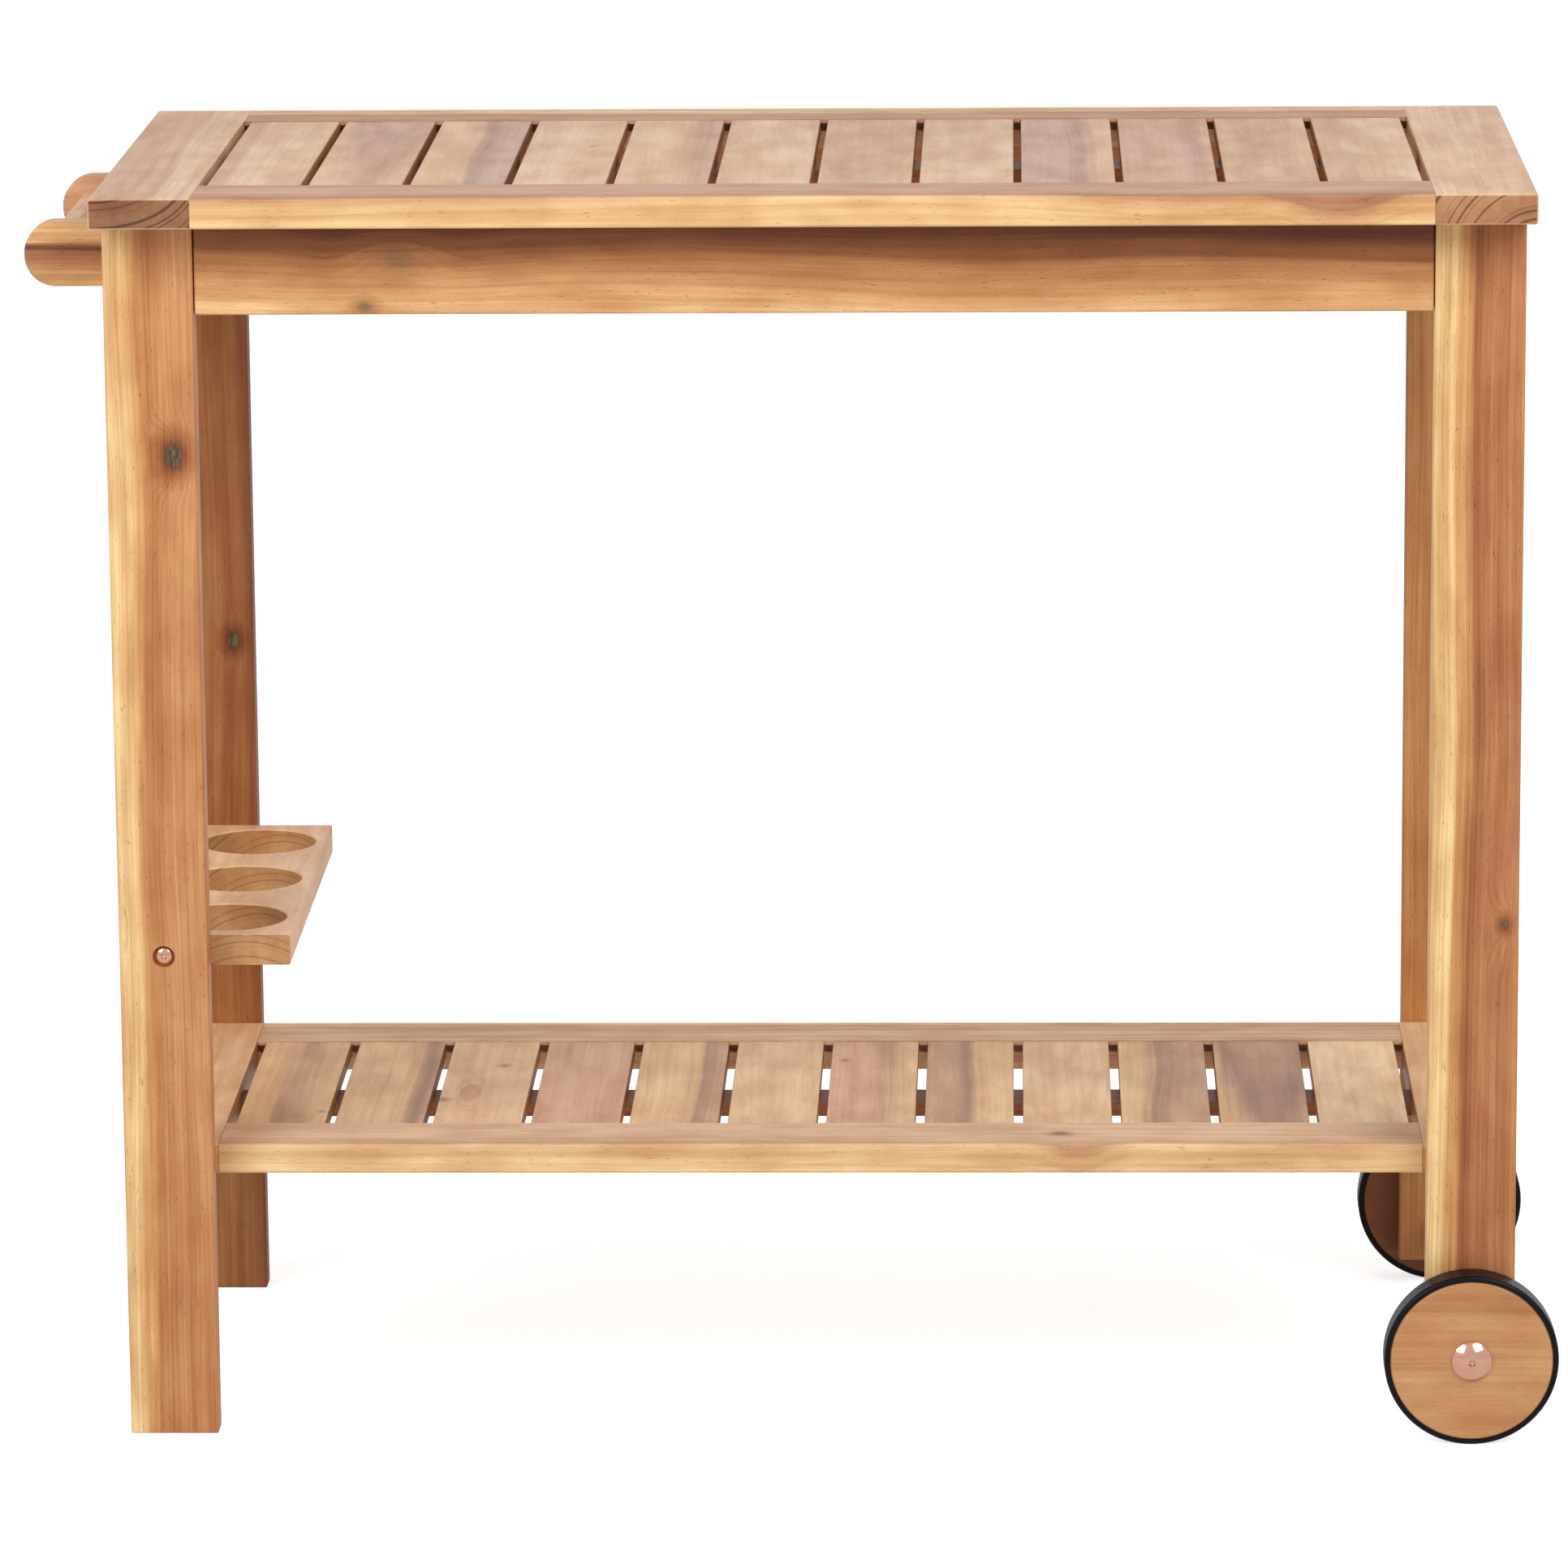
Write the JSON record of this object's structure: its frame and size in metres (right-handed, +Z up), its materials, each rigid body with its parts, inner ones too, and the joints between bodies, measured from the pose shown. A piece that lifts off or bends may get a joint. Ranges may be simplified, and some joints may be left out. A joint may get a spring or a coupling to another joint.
{
  "type": "serving trolley",
  "caption": "Wooden serving trolley with a slatted top, a low slatted shelf, a rack of bottle holes, a push bar at one end and wheels at the other.",
  "frame": {"origin": "on the floor below the middle of the overall box, halfway between the handle tips and the wheels", "axes": "+X from the handle towards the wheels, +Y from the front long side to the back one, +Z up"},
  "size_m": [0.996, 0.44, 0.825],
  "materials": {
    "acacia_boards": "oiled, satin",
    "acacia_legs": "oiled, satin",
    "acacia_frame": "oiled, satin",
    "turned_wood": "oiled, satin",
    "wheel_wood": "oiled, satin",
    "tyre_rubber": "satin",
    "nylon": "matt",
    "beech_dowel": "raw",
    "zinc_steel": "zinc-plated"
  },
  "bodies": {
    "trolley": {"apron_back": "acacia_frame", "apron_front": "acacia_frame", "apron_left": "acacia_frame", "apron_right": "acacia_frame", "axle": "zinc_steel", "axle_cap_back": "zinc_steel", "axle_cap_front": "zinc_steel", "axle_washers": "zinc_steel", "barrel_nuts": "zinc_steel", "batten_screws": "zinc_steel", "bottle_rack": "acacia_frame", "frame_bolts": "zinc_steel", "frame_dowels": "beech_dowel", "handle_arm_back": "acacia_frame", "handle_arm_front": "acacia_frame", "handle_bar": "turned_wood", "leg_back_left": "acacia_legs", "leg_back_right": "acacia_legs", "leg_front_left": "acacia_legs", "leg_front_right": "acacia_legs", "shelf_batten": "acacia_boards", "shelf_end_board_left": "acacia_boards", "shelf_end_board_right": "acacia_boards", "shelf_rail_back": "acacia_boards", "shelf_rail_front": "acacia_boards", "shelf_slat_01": "acacia_boards", "shelf_slat_02": "acacia_boards", "shelf_slat_03": "acacia_boards", "shelf_slat_04": "acacia_boards", "shelf_slat_05": "acacia_boards", "shelf_slat_06": "acacia_boards", "shelf_slat_07": "acacia_boards", "shelf_slat_08": "acacia_boards", "shelf_slat_09": "acacia_boards", "shelf_slat_10": "acacia_boards", "shelf_slat_11": "acacia_boards", "shelf_slat_12": "acacia_boards", "top_batten": "acacia_boards", "top_end_board_left": "acacia_boards", "top_end_board_right": "acacia_boards", "top_rail_back": "acacia_boards", "top_rail_front": "acacia_boards", "top_slat_01": "acacia_boards", "top_slat_02": "acacia_boards", "top_slat_03": "acacia_boards", "top_slat_04": "acacia_boards", "top_slat_05": "acacia_boards", "top_slat_06": "acacia_boards", "top_slat_07": "acacia_boards", "top_slat_08": "acacia_boards", "top_slat_09": "acacia_boards", "top_slat_10": "acacia_boards", "top_slat_11": "acacia_boards", "top_slat_12": "acacia_boards"},
    "front_wheel": {"wheel_bush_front": "nylon", "wheel_disc_front": "wheel_wood", "wheel_tyre_front": "tyre_rubber"},
    "back_wheel": {"wheel_bush_back": "nylon", "wheel_disc_back": "wheel_wood", "wheel_tyre_back": "tyre_rubber"}
  },
  "joints": [
    {"name": "front_wheel_spin", "type": "hinge", "parent": "trolley", "child": "front_wheel", "pos_m": [0.441, -0.2013, 0.057], "axis": [0, 1, 0], "continuous": true},
    {"name": "back_wheel_spin", "type": "hinge", "parent": "trolley", "child": "back_wheel", "pos_m": [0.441, 0.2013, 0.057], "axis": [0, 1, 0], "continuous": true}
  ]
}
